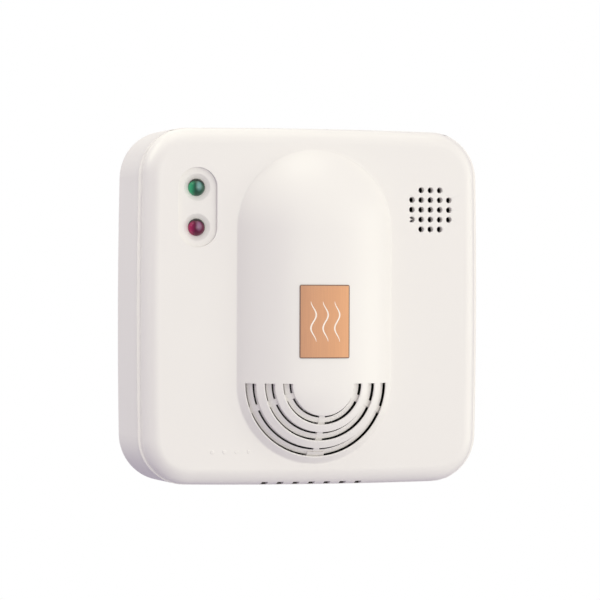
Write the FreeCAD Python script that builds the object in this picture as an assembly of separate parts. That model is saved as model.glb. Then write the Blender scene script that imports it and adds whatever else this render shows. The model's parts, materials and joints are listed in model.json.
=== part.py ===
"""Wall-mounted gas alarm: a rounded square case with a domed sensor housing.

Everything is drawn with the wall as the plane z = 0, x to the right and y up as seen from the room, and z
as the distance out from the wall. The last function stands the parts up, so that the front faces -Y.
"""
import FreeCAD
import Part
import math
import os

Vector = FreeCAD.Vector

# Case outline and depth
case_width = 102.0
corner_radius = 13.8
side_bow_radius = 1800.0
rear_case_depth = 21.8
cover_rise = 6.1
parting_gap = 0.15
case_wall = 2.2
rear_edge_radius = 0.8

# Front cover
side_set_in = 1.1
end_set_in = 0.2
flange_thickness = 1.0
skirt_straight = 0.45
face_edge_radius = 4.5
cover_wall = 2.2
lip_height = 2.5
lip_wall = 1.5
fit_clearance = 0.2

# Dome over the sensor
dome_height = 10.5
dome_half_width = 23.0
dome_end_margin = 6.2
dome_wall = 1.8
dome_blend = 0.8

# Half-ring slots in the lower end of the dome, each with a baffle rib set deeper
slot_count = 3
slot_pitch = 4.65
slot_edge_margin = 3.33
slot_width = 2.4
baffle_width = 1.4
baffle_drop = 1.5
baffle_thickness = 1.5
bridge_width = 1.8
wide_bridge_width = 4.9
bridge_angle = 21.5

# Lamps and sounder, level with each other on both sides of the dome
lamp_side_margin = 16.45
sounder_side_margin = 15.95
feature_top_margin = 23.0
lamp_spacing = 11.3
lamp_recess_rim = 1.85
lamp_recess_depth = 1.0
lamp_well_diameter = 7.6
lamp_well_depth = 0.9
lamp_diameter = 5.0
lamp_flange_diameter = 5.8
lamp_flange_thickness = 1.0
lamp_body_height = 8.6
lamp_proud = 0.6
lamp_clearance = 0.06
lamp_collar_wall = 1.6
lamp_collar_height = 2.5
lamp_lead_pitch = 2.54
grille_hole_diameter = 1.7
grille_pitch = 2.82
grille_rows = (1, 2, 2, 2, 1)

# Short vents through the lower edge of the cover
vent_count = 7
vent_pitch = 4.67
vent_width = 1.7
vent_reach = 2.1

# Foil label on the dome
label_width = 14.8
label_height = 20.8
label_y = -4.2
label_thickness = 0.2
label_corner = 0.5

# Fixing to the wall and cable entry
wall_slot_spacing = 60.0
wall_slot_width = 4.5
wall_slot_length = 9.0
wall_slot_y = 12.0
entry_width = 24.0
entry_height = 13.0
entry_y = -12.0
entry_rim_wall = 1.4
entry_rim_height = 1.6

# Screws that close the case, driven from the back
case_screw_margin = 10.0
case_screw_diameter = 2.9
case_screw_head = 5.4
case_screw_head_height = 2.0
case_screw_length = 12.0
case_post_diameter = 8.6
case_post_height = 12.0
case_post_floor = 2.0
cover_post_diameter = 7.0
post_gap = 0.1

# Circuit board, hung from the cover
board_margin = 7.5
board_corner_cut = 11.6
board_thickness = 1.6
board_drop = 9.4
board_post_diameter = 6.0
board_screw_diameter = 2.6
board_screw_head = 4.8
board_screw_head_height = 1.8
board_screw_length = 7.5
upper_screw_margins = (16.0, 4.0)
lower_screw_margins = (13.5, 5.5)
screw_bore_clearance = 0.1
drill_clearance = 0.15
pin_tail = 1.0

# Gas sensor
sensor_diameter = 16.8
sensor_base_height = 3.0
sensor_neck_height = 1.5
sensor_cap_diameter = 14.8
sensor_cap_height = 8.0
sensor_cap_wall = 0.4
sensor_cap_edge = 2.0
sensor_ring_height = 2.0
sensor_stand_off = 0.5
sensor_pin_circle = 9.5
sensor_pin_diameter = 1.0
sensor_pin_angles = (0.0, 45.0, 135.0, 180.0, 225.0, 315.0)
sensor_pin_rise = 3.5
element_diameter = 2.6
press_clearance = 0.05

# Sounder
sounder_diameter = 18.0
sounder_stand_off = 0.3
sounder_gasket_height = 0.7
sounder_gasket_width = 1.8
sounder_gasket_inset = 0.3
sounder_hole = 3.5
sounder_hole_depth = 1.5
sounder_pin_pitch = 10.0
sounder_collar_wall = 1.2
sounder_collar_height = 2.0
thin_pin = 0.6

# Transformer
transformer_y = 14.5
core_width = 24.0
core_length = 30.0
core_stack = 5.0
core_leg = 8.0
core_side_leg = 3.5
core_yoke = 5.5
bobbin_height = 13.5
bobbin_flange = 1.2
bobbin_tube_wall = 0.9
bobbin_clearance = 0.15
winding_margin = 0.3
winding_round = 1.5
transformer_pin_pitch = 5.0

# Small parts on the board, each given as its length along y, its width along x and its height
capacitor_diameter = 8.0
capacitor_height = 11.5
capacitor_x = 8.6
capacitor_gap = 2.2
capacitor_lead_pitch = 3.5
capacitor_groove = 0.5
small_part_margin = 10.5
small_part_lift = 0.2
chip_size = (10.3, 7.5, 2.3)
chip_leg_rows = 8
chip_leg_pitch = 1.27
chip_leg_width = 0.42
rectifier_size = (4.7, 3.9, 2.3)
rectifier_leg_rows = 2
rectifier_leg_pitch = 2.54
rectifier_leg_width = 0.65
regulator_size = (6.5, 3.5, 1.6)
regulator_leg_rows = 3
regulator_leg_pitch = 2.3
regulator_leg_width = 0.75
regulator_tab_width = 3.0
leg_reach = 1.3
leg_thickness = 0.25
trimmer_width = 5.0
trimmer_height = 3.0
fuse_size = (8.5, 3.0, 3.0)
varistor_size = (8.0, 4.0, 3.2)
resistor_size = (3.2, 1.6, 0.7)
resistor_count = 6
resistor_pitch = 3.4
end_cap_share = 0.18
end_cap_step = 0.1
beside_core = 4.3

# Terminal block on the back of the board
terminal_ways = 4
terminal_pitch = 5.08
terminal_depth = 8.2
terminal_height = 10.0
terminal_margin = 10.5
terminal_screw_diameter = 3.0
terminal_screw_height = 2.2
terminal_screw_sunk = 0.8
terminal_screw_slot = 0.6
terminal_wire_hole = 2.6
terminal_pin = 1.0

# Levels out from the wall that several pieces share
case_depth = rear_case_depth + cover_rise
board_front = case_depth - board_drop
face_inside = case_depth - cover_wall
flange_bottom = rear_case_depth + parting_gap
flange_top = flange_bottom + flange_thickness
board_back = board_front - board_thickness
recess_floor = case_depth - lamp_recess_depth
lamp_centre = case_depth + lamp_proud - lamp_diameter / 2
lamp_bottom = case_depth + lamp_proud - lamp_body_height

# Places on the face that several pieces share
case_half = case_width / 2
board_half = case_half - board_margin
case_screw_reach = case_half - case_screw_margin
lamp_x = case_half - lamp_side_margin
sounder_x = case_half - sounder_side_margin
feature_y = case_half - feature_top_margin
lamp_recess_width = lamp_well_diameter + 2 * lamp_recess_rim
dome_end_y = case_half - dome_end_margin - dome_half_width
dome_radius = (dome_half_width ** 2 + dome_height ** 2) / (2 * dome_height)
slot_radii = [dome_half_width - slot_edge_margin - index * slot_pitch for index in range(slot_count)]
small_part_x = board_half - small_part_margin
cover_post_bottom = case_post_height + post_gap
sensor_bottom = board_front + sensor_stand_off
sensor_shoulder = sensor_bottom + sensor_base_height
terminal_y = terminal_margin - board_half
corners = [(sx, sy) for sx in (-1, 1) for sy in (-1, 1)]

# Two levels closer than this are the same level
touching = 1e-4


def box(x0, x1, y0, y1, z0, z1):
    """A block between two corners."""
    return Part.makeBox(x1 - x0, y1 - y0, z1 - z0, Vector(x0, y0, z0))


def rod(x, y, diameter, z0, z1):
    """A round rod that runs out from the wall."""
    return Part.makeCylinder(diameter / 2, z1 - z0, Vector(x, y, z0))


def tube(x, y, outer, inner, z0, z1):
    """A round sleeve that runs out from the wall."""
    return rod(x, y, outer, z0, z1).cut(rod(x, y, inner, z0, z1))


def turned(x, y, half_section):
    """A turned piece: its half section, as points of radius and level, carried round its axis."""
    points = [Vector(x + radius, y, level) for radius, level in half_section]
    face = Part.Face(Part.makePolygon(points + points[:1]))
    return face.revolve(Vector(x, y, 0), Vector(0, 0, 1), 360)


def joined(shapes):
    """All the shapes as one solid, with no seam lines left inside its faces."""
    return shapes[0].fuse(shapes[1:]).removeSplitter()


def slot_block(x, y, length, width, z0, z1, upright=False):
    """A straight block with round ends."""
    half = (length - width) / 2
    ends = [(x, y - half), (x, y + half)] if upright else [(x - half, y), (x + half, y)]
    rods = [rod(ex, ey, width, z0, z1) for ex, ey in ends]
    if upright:
        middle = box(x - width / 2, x + width / 2, y - half, y + half, z0, z1)
    else:
        middle = box(x - half, x + half, y - width / 2, y + width / 2, z0, z1)
    return joined([middle] + rods)


def case_outline(inset, z, set_in=(0.0, 0.0)):
    """The rounded square of the case with its softly bowed sides, drawn inset by a wall.

    The set_in narrows it further across the case and along it, as the cover is narrower than the rear case.
    """
    bow_centre = case_half - side_bow_radius
    side_bow = side_bow_radius - inset - set_in[0]
    end_bow = side_bow_radius - inset - set_in[1]
    radius = corner_radius - inset - (set_in[0] + set_in[1]) / 2
    side_reach = side_bow - radius
    end_reach = end_bow - radius
    apart = abs(bow_centre) * math.sqrt(2)
    along = (side_reach ** 2 - end_reach ** 2 + apart ** 2) / (2 * apart)
    across = math.sqrt(side_reach ** 2 - along ** 2)
    corner_x = bow_centre + (across + along) / math.sqrt(2)
    corner_y = (across - along) / math.sqrt(2)
    side_turn = math.atan2(corner_y, corner_x - bow_centre)
    end_turn = math.atan2(corner_x, corner_y - bow_centre)
    middle_turn = (side_turn + math.pi / 2 - end_turn) / 2

    def on_side(angle):
        return bow_centre + side_bow * math.cos(angle), side_bow * math.sin(angle)

    def on_end(angle):
        return end_bow * math.sin(angle), bow_centre + end_bow * math.cos(angle)

    def on_corner(angle):
        return corner_x + radius * math.cos(angle), corner_y + radius * math.sin(angle)

    side = [on_side(-side_turn), on_side(0), on_side(side_turn)]
    corner = [on_side(side_turn), on_corner(middle_turn), on_end(end_turn)]
    end = [on_end(end_turn), on_end(0), on_end(-end_turn)]
    opposite_corner = [(-x, y) for x, y in reversed(corner)]
    half_outline = [side, corner, end, opposite_corner]
    edges = []
    for turn in (1, -1):
        for arc in half_outline:
            edges.append(Part.Arc(*[Vector(turn * x, turn * y, z) for x, y in arc]).toShape())
    return Part.Wire(edges)


def case_block(inset, z0, z1, set_in=(0.0, 0.0)):
    """The case outline given a thickness."""
    return Part.Face(case_outline(inset, z0, set_in)).extrude(Vector(0, 0, z1 - z0))


def level_edges(shape, z):
    """The edges that lie flat at one level."""
    boxes = [(edge, edge.BoundBox) for edge in shape.Edges]
    return [edge for edge, around in boxes if abs(around.ZMin - z) < touching and around.ZLength < touching]


def dome_block(shrink, blend, bottom):
    """The long dome: one arc carried straight along the middle and turned round at both ends."""
    radius = dome_radius - shrink
    arc_centre = case_depth + dome_height - dome_radius
    foot_z = case_depth + blend
    foot = math.sqrt(radius ** 2 - (case_depth - arc_centre) ** 2)
    points = [Vector(0, 0, bottom), Vector(foot, 0, bottom)]
    edges = []
    if blend > 0:
        blend_x = math.sqrt((radius + blend) ** 2 - (foot_z - arc_centre) ** 2)
        lean = math.atan2(blend_x, foot_z - arc_centre)
        touch = Vector(radius * math.sin(lean), 0, arc_centre + radius * math.cos(lean))
        points[1] = Vector(blend_x, 0, bottom)
        points.append(Vector(blend_x, 0, case_depth))
        middle = Vector(blend_x + blend * math.sin(math.pi + lean / 2), 0,
                        foot_z + blend * math.cos(math.pi + lean / 2))
        edges.append(Part.Arc(points[-1], middle, touch).toShape())
    else:
        lean = math.atan2(foot, case_depth - arc_centre)
        touch = Vector(foot, 0, case_depth)
        points.append(touch)
    crown_middle = Vector(radius * math.sin(lean / 2), 0, arc_centre + radius * math.cos(lean / 2))
    crown = Vector(0, 0, arc_centre + radius)
    edges.append(Part.Arc(touch, crown_middle, crown).toShape())
    edges.append(Part.makeLine(crown, points[0]))
    straight = [Part.makeLine(a, b) for a, b in zip(points, points[1:])]
    half = Part.Face(Part.Wire(straight + edges))
    half.translate(Vector(0, -dome_end_y, 0))
    right = half.extrude(Vector(0, 2 * dome_end_y, 0))
    left = right.mirror(Vector(0, 0, 0), Vector(1, 0, 0))
    lower = half.revolve(Vector(0, -dome_end_y, 0), Vector(0, 0, 1), 360)
    upper = lower.translated(Vector(0, 2 * dome_end_y, 0))
    return joined([right, left, lower, upper])


def half_ring(radius, width, z0, z1, rise=0.0):
    """The lower half of a ring round the dome's lower centre, carried up by a short rise."""
    ring = tube(0, -dome_end_y, 2 * radius + width, 2 * radius - width, z0, z1)
    reach = radius + width
    return ring.common(box(-reach, reach, -dome_end_y - reach, -dome_end_y + rise, z0, z1))


def baffle_ribs():
    """A rib inside each slot, below the surface, with the bridges that carry it.

    The outermost rib also has a wide bridge to the outer wall, at the bottom.
    """
    low = face_inside - baffle_thickness
    top = case_depth + dome_height
    band = dome_block(baffle_drop, 0, low).cut(dome_block(baffle_drop + baffle_thickness, 0, low))
    pieces = []
    for radius in slot_radii:
        pieces.append(half_ring(radius, baffle_width, low, top, rise=baffle_width))
        reach = slot_width / 2 + baffle_width / 2
        bridges = [(angle, -reach, bridge_width) for angle in (-bridge_angle, 180 + bridge_angle, -90)]
        if radius == max(slot_radii):
            bridges.append((-90, 0, wide_bridge_width))
        for angle, inner, width in bridges:
            bridge = box(radius + inner, radius + reach, -width / 2, width / 2, low, top)
            bridge.rotate(Vector(0, 0, 0), Vector(0, 0, 1), angle)
            bridge.translate(Vector(0, -dome_end_y, 0))
            pieces.append(bridge)
    return band.common(joined(pieces))


def lamp_positions():
    """Centres of the two lamps, upper one first."""
    return [(-lamp_x, feature_y + side * lamp_spacing / 2) for side in (1, -1)]


def grille_holes():
    """The round holes in front of the sounder."""
    rods = []
    for column, reach in enumerate(grille_rows):
        x = sounder_x + (column - (len(grille_rows) - 1) / 2) * grille_pitch
        for row in range(-reach, reach + 1):
            rods.append(rod(x, feature_y + row * grille_pitch, grille_hole_diameter, face_inside, case_depth))
    return rods


def edge_vents():
    """Cutters for the short vents through the lower edge of the cover."""
    bottom = end_set_in - case_half
    cutters = []
    for index in range(vent_count):
        x = (index - (vent_count - 1) / 2) * vent_pitch
        cutters.append(box(x - vent_width / 2, x + vent_width / 2, bottom, bottom + cover_wall + lip_wall,
                           flange_top, flange_top + vent_reach))
    return cutters


def cover_shell():
    """The cover's thin shell: flange, skirt with its rounded edge, and dome."""
    set_in = (side_set_in, end_set_in)
    skirt_height = case_depth - flange_top
    edge_radius = min(face_edge_radius, skirt_height - skirt_straight)
    flange = case_block(0, flange_bottom, flange_top)
    skirt = case_block(0, flange_bottom, case_depth, set_in)
    skirt = skirt.makeFillet(edge_radius, level_edges(skirt, case_depth))
    dome = dome_block(0, dome_blend, face_inside)

    inside = case_block(cover_wall, flange_bottom, face_inside, set_in)
    inside = inside.makeFillet(max(edge_radius - cover_wall, end_set_in), level_edges(inside, face_inside))
    hollow = joined([inside, dome_block(dome_wall, 0, board_front)])
    return joined([flange, skirt, dome]).cut(hollow)


def front_cover():
    """The moulded front: its shell with the lip, the collars and the posts inside."""
    lip_outside = case_wall + fit_clearance
    lip = case_block(lip_outside, flange_bottom - lip_height, flange_top)
    lip = lip.cut(case_block(lip_outside + lip_wall, flange_bottom - lip_height, flange_top))
    added = [cover_shell(), lip]
    for x, y in lamp_positions():
        collar = lamp_diameter + 2 * (lamp_clearance + lamp_collar_wall)
        added.append(rod(x, y, collar, face_inside - lamp_collar_height, recess_floor))
    collar_bore = sounder_diameter + 2 * fit_clearance
    added.append(tube(sounder_x, feature_y, collar_bore + 2 * sounder_collar_wall, collar_bore,
                      face_inside - sounder_collar_height, face_inside))
    for sx, sy in corners:
        added.append(rod(sx * case_screw_reach, sy * case_screw_reach, cover_post_diameter,
                         cover_post_bottom, face_inside))
    for x, y in board_screw_places():
        added.append(rod(x, y, board_post_diameter, board_front, face_inside))
    shell = joined(added)

    cuts = []
    for radius in slot_radii:
        cuts.append(half_ring(radius, slot_width, face_inside - baffle_thickness, case_depth + dome_height))
    cuts.append(slot_block(-lamp_x, feature_y, lamp_recess_width + lamp_spacing, lamp_recess_width,
                           recess_floor, case_depth, upright=True))
    bore = lamp_diameter + 2 * lamp_clearance
    for x, y in lamp_positions():
        cuts.append(rod(x, y, bore, face_inside - lamp_collar_height, recess_floor))
        cuts.append(Part.makeCone(bore / 2, lamp_well_diameter / 2, lamp_well_depth,
                                  Vector(x, y, recess_floor - lamp_well_depth)))
    cuts += grille_holes()
    cuts += edge_vents()
    bore = case_screw_diameter + 2 * screw_bore_clearance
    for sx, sy in corners:
        cuts.append(rod(sx * case_screw_reach, sy * case_screw_reach, bore,
                        cover_post_bottom, cover_post_bottom + case_screw_length))
    for x, y in board_screw_places():
        cuts.append(rod(x, y, board_screw_diameter + 2 * screw_bore_clearance,
                        board_front, board_back + board_screw_length))
    shell = shell.cut(Part.makeCompound(cuts))
    return joined([shell, baffle_ribs()])


def rear_case():
    """The tray against the wall, with its screw posts, wall-screw slots and cable entry."""
    tray = case_block(0, 0, rear_case_depth)
    tray = tray.makeFillet(rear_edge_radius, level_edges(tray, 0))
    tray = tray.cut(case_block(case_wall, case_wall, rear_case_depth))
    added = [tray]
    for sx, sy in corners:
        added.append(rod(sx * case_screw_reach, sy * case_screw_reach, case_post_diameter,
                         case_wall, case_post_height))
    rim = 2 * entry_rim_wall
    added.append(slot_block(0, entry_y, entry_width + rim, entry_height + rim,
                            case_wall, case_wall + entry_rim_height))
    tray = joined(added)

    cuts = [slot_block(0, entry_y, entry_width, entry_height, 0, case_wall + entry_rim_height)]
    for side in (-1, 1):
        cuts.append(slot_block(side * wall_slot_spacing / 2, wall_slot_y, wall_slot_length, wall_slot_width,
                               0, case_wall))
    for sx, sy in corners:
        x, y = sx * case_screw_reach, sy * case_screw_reach
        cuts.append(rod(x, y, case_screw_head + 2 * fit_clearance, 0, case_post_height - case_post_floor))
        cuts.append(rod(x, y, case_screw_diameter + 2 * fit_clearance, 0, case_post_height))
    return tray.cut(Part.makeCompound(cuts))


def pan_screw(x, y, head_level, diameter, head, head_height, length):
    """A pan-head screw driven out from the wall, with a cross recess in its head."""
    top = head_level - head_height
    bevel = head_height / 3
    tip = head_level + length
    screw = turned(x, y, ((0, top), (head / 2 - bevel, top), (head / 2, top + bevel), (head / 2, head_level),
                          (diameter / 2, head_level), (diameter / 2, tip), (0, tip)))
    arm, slit = head / 4, head / 10
    recess_top = head_level - head_height / 2
    cross = joined([box(x - arm, x + arm, y - slit, y + slit, top, recess_top),
                    box(x - slit, x + slit, y - arm, y + arm, top, recess_top)])
    return screw.cut(cross)


def case_screws():
    """Four screws that hold the rear case to the posts of the cover."""
    seat = case_post_height - case_post_floor
    return [pan_screw(sx * case_screw_reach, sy * case_screw_reach, seat, case_screw_diameter,
                      case_screw_head, case_screw_head_height, case_screw_length) for sx, sy in corners]


def board_screw_places():
    """Centres of the board's screws, set in from its edges."""
    places = []
    for side in (-1, 1):
        places.append((side * (board_half - upper_screw_margins[0]), board_half - upper_screw_margins[1]))
        places.append((side * (board_half - lower_screw_margins[0]), lower_screw_margins[1] - board_half))
    return places


def board_screws():
    """Four screws that hold the circuit board to the cover."""
    return [pan_screw(x, y, board_back, board_screw_diameter, board_screw_head,
                      board_screw_head_height, board_screw_length) for x, y in board_screw_places()]


def sensor_pins():
    """Centres of the sensor's six pins."""
    radius = sensor_pin_circle / 2
    turns = [math.radians(angle) for angle in sensor_pin_angles]
    return [(radius * math.cos(turn), radius * math.sin(turn) - dome_end_y) for turn in turns]


def lamp_leads(lamp):
    """Centres of one lamp's two leads."""
    x, y = lamp
    return [(x - lamp_lead_pitch / 2, y), (x + lamp_lead_pitch / 2, y)]


def sounder_pins():
    """Centres of the sounder's two pins."""
    return [(sounder_x + side * sounder_pin_pitch / 2, feature_y) for side in (-1, 1)]


def transformer_pins():
    """Centres of the transformer's pins, three at each end of its bobbin."""
    reach = bobbin_length() / 2 - bobbin_flange / 2
    return [(step * transformer_pin_pitch, transformer_y + side * reach)
            for side in (-1, 1) for step in (-1, 0, 1)]


def capacitor_y():
    """The capacitors stand in a row below the transformer."""
    return transformer_y - core_length / 2 - capacitor_gap - capacitor_diameter / 2


def capacitor_leads():
    """Centres of the leads of both capacitors."""
    y = capacitor_y()
    return [(side * capacitor_x + end * capacitor_lead_pitch / 2, y) for side in (-1, 1) for end in (-1, 1)]


def terminal_places():
    """Centres of the terminal block's ways."""
    return [((way - (terminal_ways - 1) / 2) * terminal_pitch, terminal_y) for way in range(terminal_ways)]


def drillings():
    """Every hole in the board: its centre and the diameter of what goes through."""
    square_pin = thin_pin * math.sqrt(2)
    holes = [(x, y, board_screw_diameter) for x, y in board_screw_places()]
    holes += [(x, y, sensor_pin_diameter) for x, y in sensor_pins()]
    holes += [(x, y, terminal_pin * math.sqrt(2)) for x, y in terminal_places()]
    square = sounder_pins() + transformer_pins() + capacitor_leads()
    for lamp in lamp_positions():
        square += lamp_leads(lamp)
    return holes + [(x, y, square_pin) for x, y in square]


def circuit_board():
    """The drilled board, with its corners cut away round the posts that close the case."""
    half = board_half
    cut = board_corner_cut
    points = []
    for sx, sy, first in ((1, 1, True), (-1, 1, False), (-1, -1, True), (1, -1, False)):
        on_side = Vector(sx * half, sy * (half - cut), board_back)
        on_end = Vector(sx * (half - cut), sy * half, board_back)
        points += [on_side, on_end] if first else [on_end, on_side]
    board = Part.Face(Part.makePolygon(points + points[:1])).extrude(Vector(0, 0, board_thickness))
    holes = []
    for x, y, through in drillings():
        holes.append(rod(x, y, through + 2 * drill_clearance, board_back, board_front))
    return board.cut(Part.makeCompound(holes))


def round_pins(places, diameter, top):
    """Round pins from a component down through the board."""
    return [rod(x, y, diameter, board_back - pin_tail, top) for x, y in places]


def square_pin(x, y, z0, z1, width):
    """One square pin."""
    return box(x - width / 2, x + width / 2, y - width / 2, y + width / 2, z0, z1)


def square_pins(places, top):
    """Thin square pins from a component down through the board."""
    return [square_pin(x, y, board_back - pin_tail, top, thin_pin) for x, y in places]


def terminal_pins():
    """The terminal block's pins, which pass through the board to its front."""
    return [square_pin(x, y, board_back, board_front + pin_tail, terminal_pin) for x, y in terminal_places()]


def sensor_base():
    """The sensor's resin base, drilled for its pins."""
    outer = sensor_diameter / 2
    neck = sensor_cap_diameter / 2 - sensor_cap_wall - press_clearance
    top = sensor_shoulder + sensor_neck_height
    base = turned(0, -dome_end_y, ((0, sensor_bottom), (outer, sensor_bottom), (outer, sensor_shoulder),
                                   (neck, sensor_shoulder), (neck, top), (0, top)))
    bore = sensor_pin_diameter + 2 * press_clearance
    holes = [rod(x, y, bore, sensor_bottom, top) for x, y in sensor_pins()]
    return base.cut(Part.makeCompound(holes))


def sensor_cap():
    """The sensor's pressed steel mesh cap, with a bevelled rim."""
    top = sensor_shoulder + sensor_cap_height
    outer = sensor_cap_diameter / 2
    inner = outer - sensor_cap_wall
    under = top - sensor_cap_wall
    bevel = sensor_cap_edge
    return turned(0, -dome_end_y, ((inner, sensor_shoulder), (outer, sensor_shoulder), (outer, top - bevel),
                                   (outer - bevel, top), (0, top), (0, under),
                                   (inner - bevel, under), (inner, under - bevel)))


def sensor_ring():
    """The steel ring that clamps the mesh cap to the base."""
    return tube(0, -dome_end_y, sensor_diameter, sensor_cap_diameter + 2 * press_clearance,
                sensor_shoulder, sensor_shoulder + sensor_ring_height)


def element_top():
    """Level of the ends of the sensor's pins, which hold its element."""
    return sensor_shoulder + sensor_neck_height + sensor_pin_rise


def sensor_element():
    """The heated ceramic tube, held between the two middle pins."""
    half = sensor_pin_circle / 2 - sensor_pin_diameter / 2 - press_clearance
    centre = Vector(-half, -dome_end_y, element_top() - element_diameter / 2)
    outside = Part.makeCylinder(element_diameter / 2, 2 * half, centre, Vector(1, 0, 0))
    return outside.cut(Part.makeCylinder(element_diameter / 4, 2 * half, centre, Vector(1, 0, 0)))


def sounder():
    """The sounder's moulded case with its sound hole."""
    bottom = board_front + sounder_stand_off
    top = face_inside - sounder_gasket_height
    outer = sounder_diameter / 2
    hole = sounder_hole / 2
    return turned(sounder_x, feature_y, ((0, bottom), (outer, bottom), (outer, top - sounder_gasket_inset),
                                         (outer - sounder_gasket_inset, top), (hole, top),
                                         (hole, top - sounder_hole_depth), (0, top - sounder_hole_depth)))


def sounder_gasket():
    """The foam ring that seals the sounder to the grille."""
    outer = sounder_diameter - 2 * sounder_gasket_inset
    return tube(sounder_x, feature_y, outer, outer - 2 * sounder_gasket_width,
                face_inside - sounder_gasket_height, face_inside)


def lamp(place):
    """One round lamp: flange, straight body and dome, moulded in one."""
    x, y = place
    radius = lamp_diameter / 2
    flange = rod(x, y, lamp_flange_diameter, lamp_bottom, lamp_bottom + lamp_flange_thickness)
    body = rod(x, y, lamp_diameter, lamp_bottom, lamp_centre)
    return joined([flange, body, Part.makeSphere(radius, Vector(x, y, lamp_centre))])


def lamp_spacer(place):
    """The collar that holds one lamp off the board."""
    x, y = place
    hole = thin_pin + 2 * press_clearance
    holes = [square_pin(lx, ly, board_front, lamp_bottom, hole) for lx, ly in lamp_leads(place)]
    return rod(x, y, lamp_flange_diameter, board_front, lamp_bottom).cut(Part.makeCompound(holes))


def core_middle():
    """Level of the middle of the transformer core."""
    return board_front + bobbin_height / 2


def bobbin_length():
    """Length of the bobbin between the yokes of the core."""
    return core_length - 2 * core_yoke - 2 * bobbin_clearance


def transformer_core():
    """The stacked core with a window on each side of its middle leg."""
    z0 = core_middle() - core_stack / 2
    z1 = core_middle() + core_stack / 2
    y0 = transformer_y - core_length / 2
    y1 = transformer_y + core_length / 2
    core = box(-core_width / 2, core_width / 2, y0, y1, z0, z1)
    for side in (-1, 1):
        edges = sorted((side * core_leg / 2, side * (core_width / 2 - core_side_leg)))
        core = core.cut(box(edges[0], edges[1], y0 + core_yoke, y1 - core_yoke, z0, z1))
    return core


def bobbin_bore():
    """The space through the bobbin for the middle leg."""
    half_leg = core_leg / 2 + bobbin_clearance
    half_stack = core_stack / 2 + bobbin_clearance
    half = bobbin_length() / 2
    return box(-half_leg, half_leg, transformer_y - half, transformer_y + half,
               core_middle() - half_stack, core_middle() + half_stack)


def bobbin_tube():
    """The outside of the bobbin's square tube."""
    half_leg = core_leg / 2 + bobbin_clearance + bobbin_tube_wall
    half_stack = core_stack / 2 + bobbin_clearance + bobbin_tube_wall
    half = bobbin_length() / 2
    return box(-half_leg, half_leg, transformer_y - half, transformer_y + half,
               core_middle() - half_stack, core_middle() + half_stack)


def bobbin_half_width():
    """Half the width of the bobbin's flanges, inside the windows of the core."""
    return core_width / 2 - core_side_leg - bobbin_clearance


def transformer_bobbin():
    """The moulded bobbin, which stands on the board on its two flanges."""
    half_width = bobbin_half_width()
    half = bobbin_length() / 2
    pieces = [bobbin_tube()]
    for side in (-1, 1):
        near, far = sorted((transformer_y + side * half, transformer_y + side * (half - bobbin_flange)))
        pieces.append(box(-half_width, half_width, near, far, board_front, board_front + bobbin_height))
    return joined(pieces).cut(bobbin_bore())


def transformer_winding():
    """The wound copper between the flanges of the bobbin."""
    half_width = bobbin_half_width() - winding_margin
    half = bobbin_length() / 2 - bobbin_flange
    reach = bobbin_height / 2 - 2 * winding_margin
    winding = box(-half_width, half_width, transformer_y - half, transformer_y + half,
                  core_middle() - reach, core_middle() + reach)
    along = [edge for edge in winding.Edges if edge.BoundBox.YLength > half]
    return winding.makeFillet(winding_round, along).cut(bobbin_tube())


def capacitors():
    """Two upright electrolytic cans with their rolled groove and crimped top."""
    cans = []
    outer = capacitor_diameter / 2
    groove = capacitor_groove
    top = board_front + capacitor_height
    middle = board_front + 4 * groove
    for side in (-1, 1):
        cans.append(turned(side * capacitor_x, capacitor_y(), (
            (0, board_front), (outer, board_front), (outer, middle - groove), (outer - groove, middle),
            (outer, middle + groove), (outer, top - groove), (outer - groove, top), (0, top))))
    return cans


def flat_package(x, y, size):
    """The moulded body of a flat package, lifted a little off the board by its legs."""
    length, width, height = size
    low = board_front + small_part_lift
    return box(x - width / 2, x + width / 2, y - length / 2, y + length / 2, low, low + height)


def bent_leg(body, side, y, width):
    """A leg that leaves the side of a package at half its height and is bent down to lie on the board."""
    edge = body.BoundBox.XMax if side > 0 else body.BoundBox.XMin
    level = body.BoundBox.Center.z
    half = leg_thickness / 2
    bend = leg_reach / 3
    foot = board_front + leg_thickness
    profile = ((-leg_thickness, level + half), (bend + half, level + half), (2 * bend, foot),
               (leg_reach, foot), (leg_reach, board_front), (2 * bend - half, board_front),
               (bend - half, level - half), (-leg_thickness, level - half))
    points = [Vector(edge + side * out, y - width / 2, z) for out, z in profile]
    return Part.Face(Part.makePolygon(points + points[:1])).extrude(Vector(0, width, 0))


def row_of_legs(body, side, rows, pitch, width):
    """Like legs, evenly spaced along one side of a package."""
    middle = body.BoundBox.Center.y
    return [bent_leg(body, side, middle + (row - (rows - 1) / 2) * pitch, width) for row in range(rows)]


def microcontroller():
    """The chip, with a row of legs on both sides."""
    body = flat_package(-small_part_x, transformer_y - core_length / 2, chip_size)
    legs = []
    for side in (-1, 1):
        legs += row_of_legs(body, side, chip_leg_rows, chip_leg_pitch, chip_leg_width)
    return joined([body] + legs)


def bridge_rectifier():
    """The rectifier, with two legs on each side."""
    body = flat_package(small_part_x, transformer_y - core_length / 4, rectifier_size)
    legs = []
    for side in (-1, 1):
        legs += row_of_legs(body, side, rectifier_leg_rows, rectifier_leg_pitch, rectifier_leg_width)
    return joined([body] + legs)


def voltage_regulator():
    """The regulator, with three legs on one side and a wide tab on the other."""
    body = flat_package(small_part_x, transformer_y - core_length, regulator_size)
    legs = row_of_legs(body, 1, regulator_leg_rows, regulator_leg_pitch, regulator_leg_width)
    legs += row_of_legs(body, -1, 1, regulator_leg_pitch, regulator_tab_width)
    return joined([body] + legs)


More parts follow.
